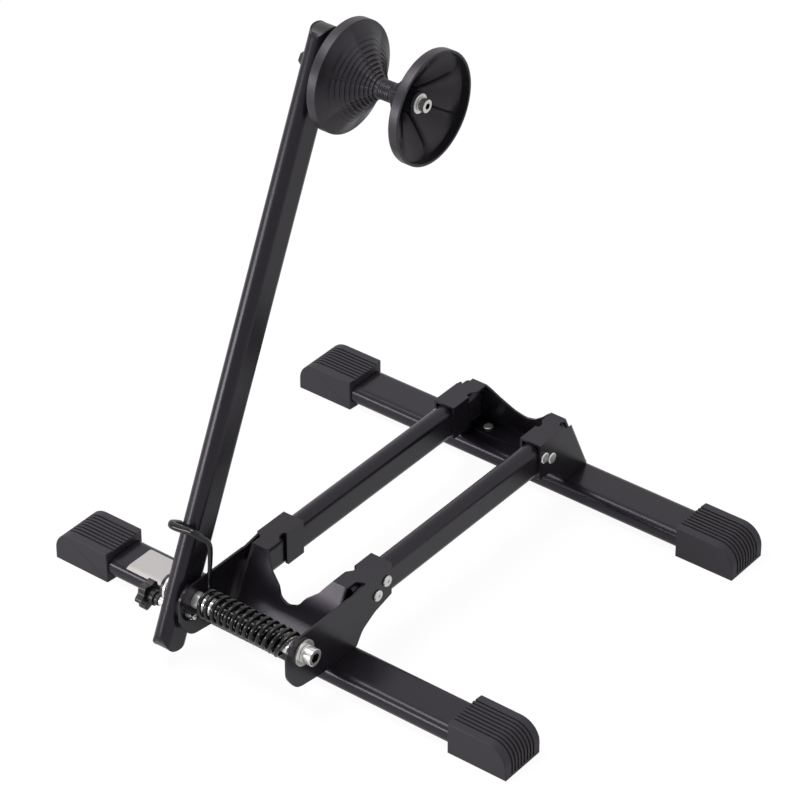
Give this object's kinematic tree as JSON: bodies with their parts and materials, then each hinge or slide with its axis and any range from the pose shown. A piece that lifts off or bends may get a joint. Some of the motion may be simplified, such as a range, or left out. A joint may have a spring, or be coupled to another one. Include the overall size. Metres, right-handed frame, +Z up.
{
  "type": "bike parking stand",
  "caption": "Floor stand for a bicycle wheel: two base tubes with ribbed foot caps, folded brackets and rails, and a sprung arm with a double-cone roller.",
  "frame": {"origin": "bottom centre of the stand's bounding box, on the floor", "axes": "+Z up, +X along the base tubes toward the side away from the arm, +Y from the base tube beside the arm's hinge toward the other base tube"},
  "size_m": [0.5716, 0.5155, 0.621],
  "materials": {
    "black_paint": "semi-gloss black powder coat on steel",
    "black_rubber": "moulded matt black rubber",
    "black_plastic": "moulded black plastic",
    "bright_zinc": "bright zinc-plated steel",
    "spring_black": "black-coated spring wire",
    "white_film": "bare white film"
  },
  "bodies": {
    "base": {"front_base_tube": "black_paint", "rear_base_tube": "black_paint", "front_left_foot_cap": "black_rubber", "front_right_foot_cap": "black_rubber", "rear_left_foot_cap": "black_rubber", "rear_right_foot_cap": "black_rubber", "left_rail": "black_paint", "right_rail": "black_paint", "front_bracket": "black_paint", "rear_bracket": "black_paint", "front_left_rail_screw_1": "bright_zinc", "front_left_rail_screw_2": "bright_zinc", "front_right_rail_screw_1": "bright_zinc", "front_right_rail_screw_2": "bright_zinc", "rear_left_rail_screw_1": "bright_zinc", "rear_left_rail_screw_2": "bright_zinc", "rear_right_rail_screw_1": "bright_zinc", "rear_right_rail_screw_2": "bright_zinc", "front_left_flange_screw": "bright_zinc", "front_right_flange_screw": "bright_zinc", "rear_left_flange_screw": "bright_zinc", "rear_right_flange_screw": "bright_zinc", "pivot_bolt": "bright_zinc", "pivot_washer": "bright_zinc", "pivot_sleeve": "bright_zinc", "pivot_spacer": "bright_zinc", "arm_washer": "bright_zinc", "pivot_end_nut": "black_paint", "torsion_spring": "spring_black", "blank_label": "white_film"},
    "arm": {"swing_arm": "black_paint", "arm_bottom_plug": "black_plastic", "arm_top_plug": "black_plastic", "arm_pivot_bush": "bright_zinc", "arm_axle_bush": "bright_zinc", "lock_boss": "bright_zinc", "axle_washer": "bright_zinc", "axle_spacer": "black_plastic", "axle_bolt": "bright_zinc", "axle_nut": "bright_zinc"},
    "lock_screw": {"lock_stud": "bright_zinc"},
    "lock_grip": {"lock_knob": "black_plastic"},
    "roller": {"left_roller_cone": "black_rubber", "right_roller_cone": "black_rubber"}
  },
  "joints": [
    {"name": "arm_swing", "type": "hinge", "parent": "base", "child": "arm", "pos_m": [0, -0.22134, 0.0714], "axis": [-1, 0, 0], "range_deg": [-30, 65.5], "deforming": ["torsion_spring"]},
    {"name": "roller_spin", "type": "hinge", "parent": "arm", "child": "roller", "pos_m": [0, 0.00108, 0.56401], "axis": [1, 0, 0], "continuous": true},
    {"name": "lock_travel", "type": "slide", "parent": "arm", "child": "lock_screw", "axis": [-1, 0, 0], "range_m": [0, 0.009]},
    {"name": "knob_turn", "type": "hinge", "parent": "lock_screw", "child": "lock_grip", "pos_m": [0, -0.22565, 0.0519], "axis": [-1, 0, 0], "range_deg": [0, 3240]}
  ],
  "couplings": [
    {"joint": "lock_travel", "follows": "knob_turn", "m_per_rad": 0.00015915}
  ]
}
